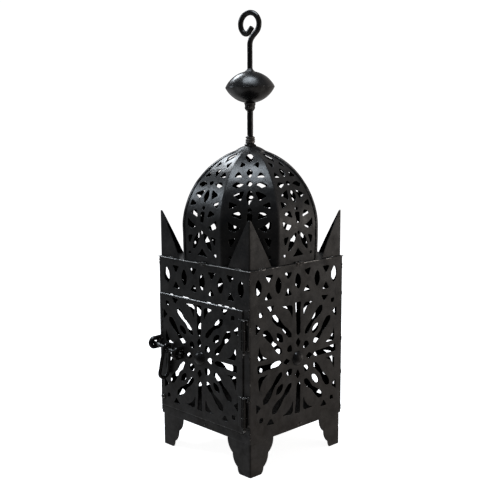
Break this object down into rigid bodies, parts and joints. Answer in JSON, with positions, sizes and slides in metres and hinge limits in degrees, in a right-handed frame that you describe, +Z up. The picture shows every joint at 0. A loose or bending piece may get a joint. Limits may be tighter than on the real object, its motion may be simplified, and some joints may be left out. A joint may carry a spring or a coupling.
{
  "type": "moroccan metal lantern",
  "caption": "Pierced sheet-metal lantern with a square body, hinged and bolted door, corner horns, ribbed dome, bead and hanging loop.",
  "frame": {"origin": "middle of the body on the plane the four feet rest on", "axes": "+Z up along the stem, the door faces -Y, the hinge is on the +X side"},
  "size_m": [0.1646, 0.1738, 0.5034],
  "materials": {
    "blackened_sheet": "satin black blackened sheet iron",
    "wrought_rod": "satin black blackened iron rod"
  },
  "bodies": {
    "root": {"right_panel": "blackened_sheet", "rear_panel": "blackened_sheet", "left_panel": "blackened_sheet", "front_transom": "blackened_sheet", "front_sill": "blackened_sheet", "latch_jamb": "blackened_sheet", "hinge_jamb": "blackened_sheet", "floor_plate": "blackened_sheet", "roof_deck": "blackened_sheet", "foot_front_left": "blackened_sheet", "foot_front_right": "blackened_sheet", "foot_rear_right": "blackened_sheet", "foot_rear_left": "blackened_sheet", "horn_front_left": "blackened_sheet", "horn_front_right": "blackened_sheet", "horn_rear_right": "blackened_sheet", "horn_rear_left": "blackened_sheet", "gore_right": "blackened_sheet", "gore_rear_right": "blackened_sheet", "gore_rear": "blackened_sheet", "gore_rear_left": "blackened_sheet", "gore_left": "blackened_sheet", "gore_front_left": "blackened_sheet", "gore_front": "blackened_sheet", "gore_front_right": "blackened_sheet", "dome_cap": "blackened_sheet", "cap_collar": "blackened_sheet", "bead_upper_bowl": "blackened_sheet", "bead_lower_bowl": "blackened_sheet", "stem_sleeve": "blackened_sheet", "bead_lower_collar": "blackened_sheet", "bead_upper_collar": "blackened_sheet", "hanging_hook": "wrought_rod", "right_boss": "blackened_sheet", "rear_boss": "blackened_sheet", "left_boss": "blackened_sheet", "lower_hinge_frame_leaf": "blackened_sheet", "lower_hinge_pin": "wrought_rod", "upper_hinge_frame_leaf": "blackened_sheet", "upper_hinge_pin": "wrought_rod", "keeper_staple": "wrought_rod"},
    "door": {"door_panel": "blackened_sheet", "door_boss": "blackened_sheet", "lower_hinge_door_leaf": "blackened_sheet", "upper_hinge_door_leaf": "blackened_sheet", "guide_staple": "wrought_rod"},
    "bolt": {"latch_bolt": "wrought_rod"},
    "pull": {"ring_pull": "wrought_rod"}
  },
  "joints": [
    {"name": "door_hinge", "type": "hinge", "parent": "root", "child": "door", "pos_m": [0.0685, -0.0781, 0.1165], "axis": [0, 0, 1], "range_deg": [0, 165]},
    {"name": "bolt_slide", "type": "slide", "parent": "door", "child": "bolt", "axis": [0.9925, 0, -0.1219], "range_m": [0, 0.012]},
    {"name": "pull_swing", "type": "hinge", "parent": "bolt", "child": "pull", "pos_m": [-0.054, -0.0834, 0.12215], "axis": [-0.9925, 0, 0.1219], "range_deg": [0, 150]}
  ]
}
